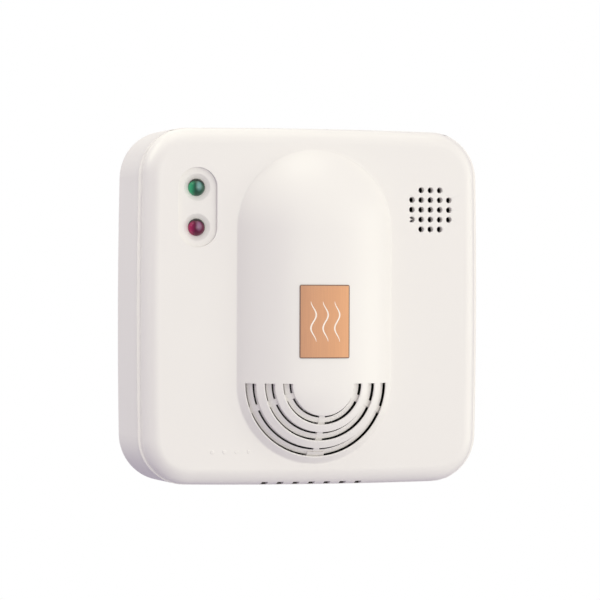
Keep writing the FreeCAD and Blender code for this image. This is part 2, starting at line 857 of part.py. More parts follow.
def trimmer():
    """The adjuster for the alarm level, with its slotted knob."""
    x, y = -small_part_x, -dome_end_y
    half = trimmer_width / 2
    knob = 0.35 * trimmer_width
    knob_height = 0.15 * trimmer_height
    top = board_front + trimmer_height
    body = box(x - half, x + half, y - half, y + half, board_front, top)
    slot = box(x - knob / 2, x + knob / 2, y - knob / 6, y + knob / 6, top, top + knob_height)
    return joined([body, rod(x, y, 2 * knob, top, top + knob_height)]).cut(slot)


def capped_block(x, y, size):
    """A block that lies on the board, with a metal cap over each end."""
    length, width, height = size
    cap = end_cap_share * length
    step = end_cap_step
    pieces = [box(x - width / 2 + step, x + width / 2 - step, y - length / 2 + cap, y + length / 2 - cap,
                  board_front + step, board_front + height - step)]
    for side in (-1, 1):
        near, far = sorted((y + side * (length / 2 - cap), y + side * length / 2))
        pieces.append(box(x - width / 2, x + width / 2, near, far, board_front, board_front + height))
    return joined(pieces)


def fuse():
    """The mains fuse, beside the transformer."""
    return capped_block(-core_width / 2 - beside_core, transformer_y + core_length / 5, fuse_size)


def varistor():
    """The block that absorbs surges, in line with the fuse."""
    return capped_block(-core_width / 2 - beside_core, transformer_y - core_length / 4, varistor_size)


def resistors():
    """The chip resistors, in a column beside the transformer."""
    x = core_width / 2 + beside_core
    top = transformer_y - core_length / 8
    return [capped_block(x, top - index * resistor_pitch, resistor_size) for index in range(resistor_count)]


def terminal_block():
    """The mains terminals behind the board, with a screw well and a wire hole for each way."""
    half = terminal_ways * terminal_pitch / 2
    half_depth = terminal_depth / 2
    low = board_back - terminal_height
    block = box(-half, half, terminal_y - half_depth, terminal_y + half_depth, low, board_back)
    well = terminal_screw_diameter + 2 * fit_clearance
    cuts = []
    for x, y in terminal_places():
        cuts.append(rod(x, y, well, low, low + terminal_screw_sunk + terminal_screw_height))
        cuts.append(Part.makeCylinder(terminal_wire_hole / 2, terminal_depth / 2,
                                      Vector(x, y, board_back - terminal_height / 3), Vector(0, 1, 0)))
    return block.cut(Part.makeCompound(cuts))


def terminal_screws():
    """The slotted screw of each terminal."""
    low = board_back - terminal_height + terminal_screw_sunk
    radius = terminal_screw_diameter / 2
    half_slot = terminal_screw_slot / 2
    screws = []
    for x, y in terminal_places():
        screw = rod(x, y, terminal_screw_diameter, low, low + terminal_screw_height)
        slot = box(x - radius, x + radius, y - half_slot, y + half_slot, low, low + terminal_screw_slot)
        screws.append(screw.cut(slot))
    return screws


def front_label():
    """The foil label, bent to the dome that it is stuck on."""
    top = case_depth + dome_height + label_thickness
    y0 = label_y - label_height / 2
    start = Vector(0, y0, case_depth + dome_height - dome_radius)
    sheet = Part.makeCylinder(dome_radius + label_thickness, label_height, start, Vector(0, 1, 0))
    sheet = sheet.cut(Part.makeCylinder(dome_radius, label_height, start, Vector(0, 1, 0)))
    blank = box(-label_width / 2, label_width / 2, y0, y0 + label_height, case_depth, top)
    corners_up = [edge for edge in blank.Edges if edge.BoundBox.ZLength > dome_height]
    return sheet.common(blank.makeFillet(label_corner, corners_up))


def all_parts():
    """Every node of the alarm with its solid, or its group of like solids."""
    green, red = lamp_positions()
    return {
        "front_cover": front_cover(),
        "rear_case": rear_case(),
        "case_screws": case_screws(),
        "circuit_board": circuit_board(),
        "board_screws": board_screws(),
        "sensor_base": sensor_base(),
        "sensor_mesh_cap": sensor_cap(),
        "sensor_clamp_ring": sensor_ring(),
        "sensor_element": sensor_element(),
        "sensor_pins": round_pins(sensor_pins(), sensor_pin_diameter, element_top()),
        "sounder_case": sounder(),
        "sounder_gasket": sounder_gasket(),
        "sounder_pins": square_pins(sounder_pins(), board_front + sounder_stand_off),
        "green_lamp": lamp(green),
        "green_lamp_leads": square_pins(lamp_leads(green), lamp_bottom),
        "red_lamp": lamp(red),
        "red_lamp_leads": square_pins(lamp_leads(red), lamp_bottom),
        "lamp_spacers": [lamp_spacer(green), lamp_spacer(red)],
        "transformer_core": transformer_core(),
        "transformer_bobbin": transformer_bobbin(),
        "transformer_winding": transformer_winding(),
        "transformer_pins": square_pins(transformer_pins(), board_front),
        "filter_capacitors": capacitors(),
        "capacitor_leads": square_pins(capacitor_leads(), board_front),
        "microcontroller": microcontroller(),
        "bridge_rectifier": bridge_rectifier(),
        "voltage_regulator": voltage_regulator(),
        "alarm_level_trimmer": trimmer(),
        "mains_fuse": fuse(),
        "surge_varistor": varistor(),
        "resistors": resistors(),
        "terminal_block": terminal_block(),
        "terminal_screws": terminal_screws(),
        "terminal_pins": terminal_pins(),
        "front_label": front_label(),
    }


def write_part(name, shape):
    """Stand one node up with its front facing -Y and write it."""
    if isinstance(shape, list):
        shape = Part.makeCompound(shape)
    standing = shape.copy()
    standing.rotate(Vector(0, 0, 0), Vector(1, 0, 0), 90)
    standing.exportStep(os.path.join("parts", name + ".step"))
    state = "valid" if standing.isValid() else "not valid"
    print(name, len(standing.Solids), state, round(standing.Volume, 1))


os.makedirs("parts", exist_ok=True)
for part_name, part_shape in all_parts().items():
    write_part(part_name, part_shape)
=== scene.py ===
import json
import math

import bmesh
import bpy
from mathutils import Matrix, Vector

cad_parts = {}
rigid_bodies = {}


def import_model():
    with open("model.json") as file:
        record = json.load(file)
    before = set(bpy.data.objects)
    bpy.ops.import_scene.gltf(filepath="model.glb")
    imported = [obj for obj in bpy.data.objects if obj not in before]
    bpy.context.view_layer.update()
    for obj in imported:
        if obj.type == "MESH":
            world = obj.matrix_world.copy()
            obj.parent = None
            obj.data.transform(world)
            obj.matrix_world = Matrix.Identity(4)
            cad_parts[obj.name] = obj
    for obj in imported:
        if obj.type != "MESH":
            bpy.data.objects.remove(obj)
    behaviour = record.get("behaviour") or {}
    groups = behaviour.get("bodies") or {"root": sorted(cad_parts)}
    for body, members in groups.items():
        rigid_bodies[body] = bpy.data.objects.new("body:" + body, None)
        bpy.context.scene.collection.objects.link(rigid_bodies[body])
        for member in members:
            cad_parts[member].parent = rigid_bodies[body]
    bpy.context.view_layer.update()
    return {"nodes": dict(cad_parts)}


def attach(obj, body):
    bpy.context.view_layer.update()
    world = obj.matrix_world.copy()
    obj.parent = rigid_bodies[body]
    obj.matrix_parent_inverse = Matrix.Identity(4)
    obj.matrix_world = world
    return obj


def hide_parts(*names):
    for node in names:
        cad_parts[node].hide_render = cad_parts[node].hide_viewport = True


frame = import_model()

nodes = frame["nodes"]


# Rear case. The tray that goes on the wall is one injection moulding in off-white ABS, the same grade as the
# cover. It is fixed by two screws through the slots in its back, and carries the cover on four posts. All sizes
# are in millimetres, and MM turns them into Blender's metres.
MM = 0.001


def linear(hex_colour):
    """An sRGB colour as on a colour card, in linear light."""
    shares = [int(hex_colour[place:place + 2], 16) / 255 for place in (1, 3, 5)]
    return tuple(s / 12.92 if s <= 0.04045 else ((s + 0.055) / 1.055) ** 2.4 for s in shares) + (1.0,)


def add(tree, kind, sockets=(), **settings):
    """Add one node with its settings, and a value or a link on each input that is named."""
    new = tree.nodes.new(kind)
    for name, value in settings.items():
        setattr(new, name, value)
    for name, value in dict(sockets).items():
        if isinstance(value, bpy.types.NodeSocket):
            tree.links.new(value, new.inputs[name])
        else:
            new.inputs[name].default_value = value
    return new


def new_finish(name, colour, **sockets):
    """A material with one surface shader, ready for its pattern."""
    made = bpy.data.materials.new(name)
    made.use_nodes = True
    surface = made.node_tree.nodes["Principled BSDF"]
    surface.inputs["Base Color"].default_value = linear(colour)
    for socket, value in sockets.items():
        surface.inputs[socket.replace("_", " ")].default_value = value
    return made, made.node_tree, surface


def dress(finish, *names):
    """Give CAD nodes their material."""
    for name in names:
        nodes[name].data.materials.clear()
        nodes[name].data.materials.append(finish)


def moulded_abs(name, colour):
    """Injection-moulded ABS from a spark-eroded tool: the surface is satin, with a very fine even grain."""
    finish, tree, surface = new_finish(name, colour, Roughness=0.4, IOR=1.54)
    place = add(tree, "ShaderNodeTexCoord")
    # The tool's grain is about 0.05 mm; it is drawn at 0.35 mm, so that it shows as a soft unevenness.
    grain = add(tree, "ShaderNodeTexNoise", {"Vector": place.outputs["Object"], "Scale": 1 / (0.35 * MM),
                                               "Detail": 3.0})
    relief = add(tree, "ShaderNodeBump", {"Height": grain.outputs["Fac"], "Strength": 0.03, "Distance": 0.05 * MM})
    tree.links.new(relief.outputs["Normal"], surface.inputs["Normal"])
    # The melt cools unevenly over about 20 mm, which shifts the gloss a little from place to place.
    flow = add(tree, "ShaderNodeTexNoise", {"Vector": place.outputs["Object"], "Scale": 1 / (20 * MM), "Detail": 2.0})
    gloss = add(tree, "ShaderNodeMapRange", {"Value": flow.outputs["Fac"], "From Min": 0.3, "From Max": 0.7,
                                             "To Min": 0.36, "To Max": 0.46})
    tree.links.new(gloss.outputs["Result"], surface.inputs["Roughness"])
    return finish


case_abs = moulded_abs("moulded_abs_off_white_rear", "#e9e6e4")
dress(case_abs, "rear_case")


# Case screws. Four zinc-plated steel pan-head screws, driven from the back into the posts of the cover. The board
# screws and the terminals' screws are plated in the same way, which gives a bright but slightly cloudy shine.
zinc, tree, surface = new_finish("zinc_plated_steel", "#b9babb", Metallic=1.0, Roughness=0.32)
place = add(tree, "ShaderNodeTexCoord")
# Plating leaves patches of about 0.4 mm with more or less gloss.
patches = add(tree, "ShaderNodeTexNoise", {"Vector": place.outputs["Object"], "Scale": 1 / (0.4 * MM),
                                             "Detail": 2.0})
gloss = add(tree, "ShaderNodeMapRange", {"Value": patches.outputs["Fac"], "To Min": 0.22, "To Max": 0.42})
tree.links.new(gloss.outputs["Result"], surface.inputs["Roughness"])
dress(zinc, "case_screws", "board_screws", "terminal_screws")


# Circuit board. Glass-epoxy laminate 1.6 mm thick, drilled and coated with green solder resist. It hangs from
# the posts of the cover on four screws. The resist gives a very dark green with a smooth shine.
laminate, tree, surface = new_finish("solder_resist_green", "#08170f", Roughness=0.3, IOR=1.5)
place = add(tree, "ShaderNodeTexCoord")
# The glass weave, with a thread every 0.5 mm, just shows through the resist.
weave = add(tree, "ShaderNodeTexChecker", {"Vector": place.outputs["Object"], "Scale": 1 / (0.5 * MM),
                                           "Color1": linear("#091a11"), "Color2": linear("#07150d")})
tree.links.new(weave.outputs["Color"], surface.inputs["Base Color"])
dress(laminate, "circuit_board")


# Terminal block. Moulded nylon with a screw and a wire hole for each way, soldered behind the board. The nylon
# gives an even mid green with a soft shine.
nylon_green, tree, surface = new_finish("moulded_nylon_green", "#2f7d4c", Roughness=0.48, IOR=1.53)
dress(nylon_green, "terminal_block")


# Leads and pins. Brass and steel wire, cut to length and soldered through the board. It is dipped in tin, which
# gives a pale shine that isn't polished.
tin, tree, surface = new_finish("tinned_wire", "#cfcfcb", Metallic=1.0, Roughness=0.28)
dress(tin, "terminal_pins", "sensor_pins", "sounder_pins", "green_lamp_leads", "red_lamp_leads",
      "transformer_pins", "capacitor_leads")


# Transformer. A stack of stamped steel sheets round a nylon bobbin that holds the winding. The sheets' oxide is
# dark with a dull metal shine, the bare nylon is a dull ivory, and the enamel leaves the wire a warm copper.
core_steel, tree, surface = new_finish("oxidised_core_sheets", "#4a4b4e", Metallic=0.8, Roughness=0.5)
place = add(tree, "ShaderNodeTexCoord")
# The sheets are 0.5 mm thick, and their edges show as fine lines along the stack.
sheets = add(tree, "ShaderNodeTexWave", {"Vector": place.outputs["Object"], "Scale": 1 / (0.5 * MM * 20)},
             bands_direction="Y")
relief = add(tree, "ShaderNodeBump", {"Height": sheets.outputs["Fac"], "Strength": 0.6, "Distance": 0.1 * MM})
tree.links.new(relief.outputs["Normal"], surface.inputs["Normal"])
dress(core_steel, "transformer_core")

nylon_pale, tree, surface = new_finish("moulded_nylon_natural", "#ddd8c6", Roughness=0.5, IOR=1.53)
dress(nylon_pale, "transformer_bobbin")

wire, tree, surface = new_finish("enamelled_copper_winding", "#a9592c", Metallic=1.0, Roughness=0.3)
place = add(tree, "ShaderNodeTexCoord")
# The wire is 0.2 mm thick; the turns are drawn every 0.4 mm so that they show.
turns = add(tree, "ShaderNodeTexWave", {"Vector": place.outputs["Object"], "Scale": 1 / (0.4 * MM * 20)},
            bands_direction="Z")
relief = add(tree, "ShaderNodeBump", {"Height": turns.outputs["Fac"], "Strength": 0.8, "Distance": 0.2 * MM})
tree.links.new(relief.outputs["Normal"], surface.inputs["Normal"])
dress(wire, "transformer_winding")


# Small parts on the board. The chip, rectifier, regulator and fuse and the lamps' collars are black moulded epoxy,
# matt and even. The capacitors' shrunk sleeve and the varistor's dipped coat are glossy, and the resistors' lacquer
# and the trimmer's nylon have a soft shine. All are soldered to the board.
for name, colour, roughness, ior, parts in (
        ("black_moulded_epoxy", "#1b1b1c", 0.55, 1.55,
         ("microcontroller", "bridge_rectifier", "voltage_regulator", "mains_fuse", "lamp_spacers")),
        ("shrunk_sleeve_dark_blue", "#1c2340", 0.25, 1.53, ("filter_capacitors",)),
        ("dipped_epoxy_blue", "#1f5f9c", 0.3, 1.5, ("surge_varistor",)),
        ("baked_lacquer_dark", "#2c2a28", 0.45, 1.5, ("resistors",)),
        ("moulded_nylon_blue", "#2b4f8f", 0.45, 1.53, ("alarm_level_trimmer",))):
    finish, tree, surface = new_finish(name, colour, Roughness=roughness, IOR=ior)
    dress(finish, *parts)


# Gas sensor. A brown resin base carries six pins and a heated ceramic tube, under a cap of stainless steel
# mesh that a pressed ring clamps to the base. It stands on the board behind the slots of the dome. The resin is
# a matt brown, the ceramic a chalky white, and the pressed steel smooth and bright.
resin, tree, surface = new_finish("moulded_phenolic_brown", "#3b2417", Roughness=0.5, IOR=1.6)
dress(resin, "sensor_base")
ceramic, tree, surface = new_finish("unglazed_alumina", "#e6e1d6", Roughness=0.7, IOR=1.7)
dress(ceramic, "sensor_element")
mesh_steel, tree, surface = new_finish("stainless_mesh", "#8f9092", Metallic=1.0, Roughness=0.35)
place = add(tree, "ShaderNodeTexCoord")
# The mesh has a wire every 0.14 mm; it is drawn every 0.4 mm so that it shows.
holes = add(tree, "ShaderNodeTexChecker", {"Vector": place.outputs["Object"], "Scale": 1 / (0.4 * MM),
                                           "Color1": linear("#9a9b9d"), "Color2": linear("#3c3c3e")})
tree.links.new(holes.outputs["Color"], surface.inputs["Base Color"])
dress(mesh_steel, "sensor_mesh_cap")
ring_steel, tree, surface = new_finish("pressed_stainless_steel", "#a7a8aa", Metallic=1.0, Roughness=0.25)
dress(ring_steel, "sensor_clamp_ring")


# Sounder. A moulded case with one sound hole, soldered to the board and sealed to the grille by a ring of foam.
# The case is a plain satin black, and the foam is darker still, with no shine.
sounder_black, tree, surface = new_finish("moulded_ppo_black", "#151516", Roughness=0.5, IOR=1.55)
dress(sounder_black, "sounder_case")
foam, tree, surface = new_finish("closed_cell_foam", "#1e1e1f", Roughness=0.9)
place = add(tree, "ShaderNodeTexCoord")
# Closed cells about 0.3 mm wide.
cells = add(tree, "ShaderNodeTexVoronoi", {"Vector": place.outputs["Object"], "Scale": 1 / (0.3 * MM)})
relief = add(tree, "ShaderNodeBump", {"Height": cells.outputs["Distance"], "Strength": 0.7, "Distance": 0.1 * MM})
tree.links.new(relief.outputs["Normal"], surface.inputs["Normal"])
dress(foam, "sounder_gasket")


# Front cover. One injection moulding in off-white ABS: the flange that sits on the rear case, the skirt with
# its broad rounded edge, the flat face, and the long dome over the sensor. Its section is drawn here and
# carried round the case and round the dome, so that every curve is a true one.
front = 27.9
inner_face = 25.7
ledge = 22.95
flange_under = 21.95
case_half = 51.0
corner_radius = 13.8
bow_radius = 1800.0
skirt_half = 49.9
skirt_end_half = 50.8
skirt_corner = 13.0
edge_round = 4.5
wall = 2.2
cove = 0.45
cove_at_ends = 0.09
cove_steps = 4
flange_round = 0.12
flange_width = 2.4
lip_reach = 2.5
lip_wall = 1.5
bow_steps = 16
corner_steps = 20


def start_piece(name):
    """An empty mesh in edit mode, to draw in."""
    bpy.ops.object.select_all(action="DESELECT")
    bpy.ops.mesh.primitive_plane_add(size=MM)
    piece = bpy.context.object
    piece.name = name
    bpy.ops.object.mode_set(mode="EDIT")
    bpy.ops.mesh.select_mode(type="VERT")
    bpy.ops.mesh.select_all(action="SELECT")
    bpy.ops.mesh.delete(type="VERT")
    return piece


def pen(x, out, z=0.0):
    """Put one vertex down at a place across, out from the wall, and up."""
    bpy.ops.mesh.select_all(action="DESELECT")
    bpy.ops.mesh.primitive_circle_add(vertices=3, radius=0.1 * MM, location=(x * MM, -out * MM, z * MM))
    bpy.ops.mesh.merge(type="CENTER")


def line(x, out, z=0.0):
    """Draw on from the last vertex by a step across, out and up."""
    bpy.ops.mesh.extrude_vertices_move(TRANSFORM_OT_translate={"value": (x * MM, -out * MM, z * MM)})


def arc(x, out, degrees, steps, z=0.0):
    """Draw on from the last vertex round a centre in the level section."""
    bpy.ops.mesh.spin(steps=steps, angle=-math.radians(degrees), center=(x * MM, -out * MM, z * MM), axis=(0, 0, 1))


def turn(x, z, degrees, steps):
    """Carry what is selected round an axis that stands out from the wall."""
    bpy.ops.mesh.spin(steps=steps, angle=math.radians(degrees), center=(x * MM, 0, z * MM), axis=(0, 1, 0))


def carry(x=0.0, out=0.0, z=0.0):
    """Carry what is selected straight along."""
    bpy.ops.mesh.extrude_region_move(TRANSFORM_OT_translate={"value": (x * MM, -out * MM, z * MM)})


def weld(gap=0.005):
    """Join the vertices of all that shows where they lie together."""
    bpy.ops.mesh.select_all(action="SELECT")
    bpy.ops.mesh.remove_doubles(threshold=gap * MM)
    bpy.ops.mesh.select_all(action="SELECT")


def choose(test, only_open=False):
    """Select the vertices, or the open edges, that pass a test on their place across, out and up."""
    mesh = bpy.context.object.data
    bpy.ops.mesh.select_all(action="DESELECT")
    drawing = bmesh.from_edit_mesh(mesh)
    for part in [edge for edge in drawing.edges if len(edge.link_faces) < 2] if only_open else drawing.verts:
        ends = [end.co / MM for end in (part.verts if only_open else (part,))]
        if not part.hide and all(test(end.x, -end.y, end.z) for end in ends):
            part.select_set(True)
    bmesh.update_edit_mesh(mesh)


def around_case(half, corner):
    """Carry the selected section once round the case, from the middle of its right side."""
    reach = bow_radius - half
    centre = (math.sqrt(2 * (bow_radius - corner) ** 2 - reach ** 2) - reach) / 2
    lean = math.degrees(math.atan2(centre, centre + reach))
    turn(-reach, 0, lean, bow_steps // 2)
    turn(centre, centre, 90 - 2 * lean, corner_steps)
    turn(0, -reach, 2 * lean, bow_steps)
    turn(-centre, centre, 90 - 2 * lean, corner_steps)
    turn(reach, 0, 2 * lean, bow_steps)
    turn(-centre, -centre, 90 - 2 * lean, corner_steps)
    turn(0, reach, 2 * lean, bow_steps)
    turn(centre, -centre, 90 - 2 * lean, corner_steps)
    turn(-reach, 0, lean, bow_steps // 2)


cover = start_piece("cover_moulding")
pen(case_half - flange_round, ledge)
arc(case_half - flange_round, ledge - flange_round, 90, 3)
line(0, flange_under - ledge + flange_round)
line(-flange_width, 0)
line(0, -lip_reach)
line(-lip_wall, 0)
line(0, lip_reach + ledge - flange_under)
bpy.ops.mesh.select_linked()
around_case(case_half, corner_radius)
weld(0.01)
bpy.ops.mesh.hide(unselected=False)

pen(skirt_half + cove, ledge)
arc(skirt_half + cove, ledge + cove, 90, cove_steps)
arc(skirt_half - edge_round, front - edge_round, -90, 14)
bpy.ops.mesh.select_linked()
around_case(skirt_half, skirt_corner)
pen(skirt_half - wall, ledge)
line(0, front - edge_round - ledge)
arc(skirt_half - edge_round, front - edge_round, -90, 8)
bpy.ops.mesh.select_linked()
around_case(skirt_half, skirt_corner)
weld(0.01)
longer = skirt_end_half / skirt_half
bpy.ops.transform.resize(value=(1, 1, longer), center_override=(0, 0, 0))
# The cove is narrower at the top and bottom, where the ledge is.
for step in range(1, cove_steps + 1):
    turned = math.radians(90 / cove_steps * step)
    share = 1 - math.cos(turned)
    level = ledge + cove * (1 - math.sin(turned))
    narrower = (skirt_end_half + cove_at_ends * share) / ((skirt_half + cove * share) * longer)
    choose(lambda x, out, z: abs(out - level) < 0.002 and max(abs(x), abs(z)) > skirt_half - 0.01)
    bpy.ops.transform.resize(value=(1, 1, narrower), center_override=(0, 0, 0))
bpy.ops.mesh.hide(unselected=False)
bpy.ops.mesh.select_all(action="SELECT")
bpy.ops.mesh.hide(unselected=False)

# The dome is one arc, carried straight along the middle and turned round at both ends. Its lower end has three
# half-ring slots with softened edges; their outer walls fall back, so the slots widen inwards.
dome_round = 30.44
dome_centre = 7.96
dome_end = 21.8
dome_wall = 1.8
foot_blend = 0.8
slot_middles = (19.67, 15.02, 10.37)
slot_width = 2.4
slot_edge = 0.3
slot_flare = math.tan(math.radians(18))
lean_step = 1.9
half_ring_steps = 64
inner_round = dome_round - dome_wall
foot_out = front + foot_blend
foot_x = math.sqrt((dome_round + foot_blend) ** 2 - (foot_out - dome_centre) ** 2)
foot_lean = math.degrees(math.atan2(foot_x, foot_out - dome_centre))
hollow_x = math.sqrt(inner_round ** 2 - (front - dome_centre) ** 2)


def over_dome(first, last):
    """Draw along the dome from one lean to another, in even steps."""
    if abs(last - first) > 0.01:
        steps = max(1, round(abs(last - first) / lean_step))
        arc(0, dome_centre, last - first, steps, z=-dome_end)


def lean_of(x, out):
    """How far a place leans from the middle of the dome, seen from the dome's axis."""
    return math.degrees(math.atan2(x, out - dome_centre))


def rounding(x):
    """Where the centre of a slot's rounded edge lies out from the wall: the round touches the dome from inside."""
    return dome_centre + math.sqrt((dome_round - slot_edge) ** 2 - x ** 2)


slots = []
for middle in slot_middles:
    outer, inner = middle + slot_width / 2, middle - slot_width / 2
    outer_edge, inner_edge = rounding(outer + slot_edge), rounding(inner - slot_edge)
    under, under_x = inner_face, outer + (outer_edge - inner_face) * slot_flare
    if slots:
        under_x = outer
        for _ in range(8):
            under = dome_centre + math.sqrt(inner_round ** 2 - under_x ** 2)
            under_x = outer + (outer_edge - under) * slot_flare
    top = dome_centre + math.sqrt(inner_round ** 2 - inner ** 2)
    slots.append({"outer": outer, "inner": inner, "outer_edge": outer_edge, "inner_edge": inner_edge,
                  "outer_lean": lean_of(outer + slot_edge, outer_edge), "under": under, "under_x": under_x,
                  "inner_lean": lean_of(inner - slot_edge, inner_edge), "top": top,
                  "under_lean": lean_of(under_x, under), "top_lean": lean_of(inner, top)})


def foot():
    """The blend that rises from the face to the dome."""
    pen(foot_x, front, z=-dome_end)
    arc(foot_x, foot_out, foot_lean, 4, z=-dome_end)


def down_outer_wall(slot):
    """Round the outer edge of a slot and follow its wall down to the inside."""
    arc(slot["outer"] + slot_edge, slot["outer_edge"], -slot["outer_lean"] - 90, 4, z=-dome_end)
    line(slot["under_x"] - slot["outer"], slot["under"] - slot["outer_edge"])


def up_inner_wall(slot):
    """Follow the inner wall of a slot up from the inside and round its edge."""
    pen(slot["inner"], slot["top"], z=-dome_end)
    line(0, slot["inner_edge"] - slot["top"])
    arc(slot["inner"] - slot_edge, slot["inner_edge"], slot["inner_lean"] - 90, 4, z=-dome_end)


foot()
outside_stops = [foot_lean]
inside_stops = [lean_of(hollow_x, front)]
for slot in slots:
    outside_stops += [slot["outer_lean"], slot["inner_lean"]]
    inside_stops += [slot["under_lean"], slot["top_lean"]] if slot is not slots[0] else [slot["top_lean"]]
for first, last in zip(outside_stops, outside_stops[1:] + [0.0]):
    over_dome(first, last)
pen(hollow_x, inner_face, z=-dome_end)
line(0, front - inner_face)
for first, last in zip(inside_stops, inside_stops[1:] + [0.0]):
    over_dome(first, last)
bpy.ops.mesh.select_all(action="SELECT")
carry(z=2 * dome_end)
turn(0, dome_end, 180, half_ring_steps)
carry(z=-2 * dome_end)
weld()
bpy.ops.mesh.hide(unselected=False)

foot()
over_dome(foot_lean, slots[0]["outer_lean"])
down_outer_wall(slots[0])
for near, far in zip(slots, slots[1:]):
    up_inner_wall(near)
    over_dome(near["inner_lean"], far["outer_lean"])
    down_outer_wall(far)
    over_dome(far["under_lean"], near["top_lean"])
up_inner_wall(slots[-1])
over_dome(slots[-1]["inner_lean"], 0)
pen(0, dome_centre + inner_round, z=-dome_end)
over_dome(0, slots[-1]["top_lean"])
weld()
turn(0, -dome_end, -180, half_ring_steps)
weld()
bpy.ops.mesh.reveal()
for side in (-1, 1):
    pen(side * hollow_x, inner_face, z=-dome_end)
    line(side * (slots[0]["under_x"] - hollow_x), 0)
weld()
choose(lambda x, out, z: abs(z + dome_end) < 0.01 and abs(x) < foot_x - 1, only_open=True)
bpy.ops.mesh.edge_face_add()

# Round openings in the flat face: the lamp recess with a dished well and a collar for each lamp, and the 21
# holes of the sounder grille. The rims are softened a little, as a moulding's are.
lamp_x = -34.55
sounder_x = 35.05
feature_z = 28.0
lamp_spacing = 11.3
recess_half = 5.65
recess_floor = 26.9
recess_rim = 0.12
floor_round = 0.08
well_half = 3.8
well_mouth = well_half + 0.02
well_rim = 0.15
well_rim_drop = 0.05
well_floor = 26.2
bore_half = 2.56
bore_lip = 0.07
bore_lip_drop = 0.15
collar_end = 23.2
collar_wall = 1.6
grille_hole = 0.85
grille_rim = 0.12
grille_pitch = 2.82
grille_rows = (1, 2, 2, 2, 1)


def ring(x, z, out, radius, steps):
    """A round outline that faces out."""
    bpy.ops.mesh.select_all(action="DESELECT")
    bpy.ops.mesh.primitive_circle_add(vertices=steps, radius=radius * MM, location=(x * MM, -out * MM, z * MM),
                                      rotation=(math.pi / 2, 0, 0))


def sink(depth, radius=1.0, new_radius=1.0):
    """Carry the selected outline inwards, and change its radius on the way."""
    carry(out=-depth)
    bpy.ops.transform.resize(value=(new_radius / radius, 1, new_radius / radius))


def lie_flat(level, test=lambda x, z: True):
    """Close all that lies open at one level with flat faces."""
    choose(lambda x, out, z: abs(out - level) < 0.005 and test(x, z), only_open=True)
    bpy.ops.mesh.fill(use_beauty=True)


low_lamp = feature_z - lamp_spacing / 2
pen(lamp_x + recess_half + recess_rim, front, z=low_lamp)
arc(lamp_x + recess_half + recess_rim, front - recess_rim, -90, 3, z=low_lamp)
line(0, recess_floor + floor_round - front + recess_rim)
arc(lamp_x + recess_half - floor_round, recess_floor + floor_round, 90, 2, z=low_lamp)
bpy.ops.mesh.select_linked()
carry(z=lamp_spacing)
turn(lamp_x, low_lamp + lamp_spacing, 180, 32)
carry(z=-lamp_spacing)
turn(lamp_x, low_lamp, 180, 32)
for z in (low_lamp, low_lamp + lamp_spacing):
    ring(lamp_x, z, recess_floor, well_half + well_rim, 48)
    sink(well_rim_drop, well_half + well_rim, well_mouth)
    sink(recess_floor - well_rim_drop - well_floor, well_mouth, bore_half - bore_lip)
    sink(bore_lip_drop, bore_half - bore_lip, bore_half)
    sink(well_floor - bore_lip_drop - collar_end)
    sink(0, bore_half, bore_half + collar_wall)
    sink(collar_end - inner_face)
for column, reach in enumerate(grille_rows):
    for row in range(-reach, reach + 1):
        ring(sounder_x + (column - 2) * grille_pitch, feature_z + row * grille_pitch, front,
             grille_hole + grille_rim, 24)
        sink(grille_rim / 3, grille_hole + grille_rim, grille_hole + grille_rim / 3)
        sink(grille_rim * 2 / 3, grille_hole + grille_rim / 3, grille_hole)
        sink(front - inner_face - grille_rim)
weld()
lie_flat(front)
lie_flat(recess_floor,
         lambda x, z: math.hypot(x - lamp_x, max(0.0, abs(z - feature_z) - lamp_spacing / 2)) < recess_half)
lie_flat(inner_face)
lie_flat(ledge)
weld(0.002)
bpy.ops.mesh.normals_make_consistent(inside=False)
bpy.ops.object.mode_set(mode="OBJECT")

# Seven short vents are cut through the lower edge of the skirt. Their rear face is painted a dull warm grey, painted
# shade for the dark depth of the vents. Its tone was chosen so that the vents come out as dark as they look in the
# photograph.
vent_count = 7
vent_pitch = 4.67
vent_left = 0.8
vent_right = 1.05
vent_floor = 22.9
vent_top = 25.8
vent_depth = 4.0
vent_clear = 0.02
painted_vent_shade, tree, surface = new_finish("painted_vent_shade_grey", "#4a4644", Roughness=0.95)
cutter = start_piece("vent_cutter")
for step in range(vent_count):
    bpy.ops.mesh.select_all(action="DESELECT")
    middle = (step - (vent_count - 1) / 2) * vent_pitch + (vent_right - vent_left) / 2
    bpy.ops.mesh.primitive_cube_add(size=MM, location=(middle * MM, -(vent_floor + vent_top) / 2 * MM,
                                                       -(skirt_end_half + vent_clear - vent_depth / 2) * MM))
    bpy.ops.transform.resize(value=(vent_left + vent_right, vent_top - vent_floor, vent_depth))
bpy.ops.object.mode_set(mode="OBJECT")
cover_abs = moulded_abs("moulded_abs_off_white_cover", "#ebe8e6")
for finish in (cover_abs, painted_vent_shade):
    cover.data.materials.append(finish)
    cutter.data.materials.append(finish)
# The cutter's faces that face into the wall become the vents' rear faces, which take the painted shade.
for face in cutter.data.polygons:
    face.material_index = int(face.normal.y > 0.9)
bpy.ops.object.select_all(action="DESELECT")
bpy.context.view_layer.objects.active = cover
cover.select_set(True)
cut = cover.modifiers.new("vents", "BOOLEAN")
cut.operation = "DIFFERENCE"
cut.solver = "EXACT"
cut.material_mode = "TRANSFER"
cut.object = cutter
bpy.ops.object.modifier_apply(modifier=cut.name)
bpy.data.objects.remove(cutter)

# A baffle rib stands deeper in each slot, so that nothing pokes straight in. Three bridges carry each rib, and
# the widest slot has a broad one at the bottom.
rib_width = 1.4
rib_drop = 1.4
bridge_drop = 1.3
broad_bridge_drop = 1.0
rib_depth = 1.5
rib_rise = 1.4
bridge_width = 1.8
broad_bridge_width = 4.9
bridge_lean = 21.5
bridge_root = 0.5


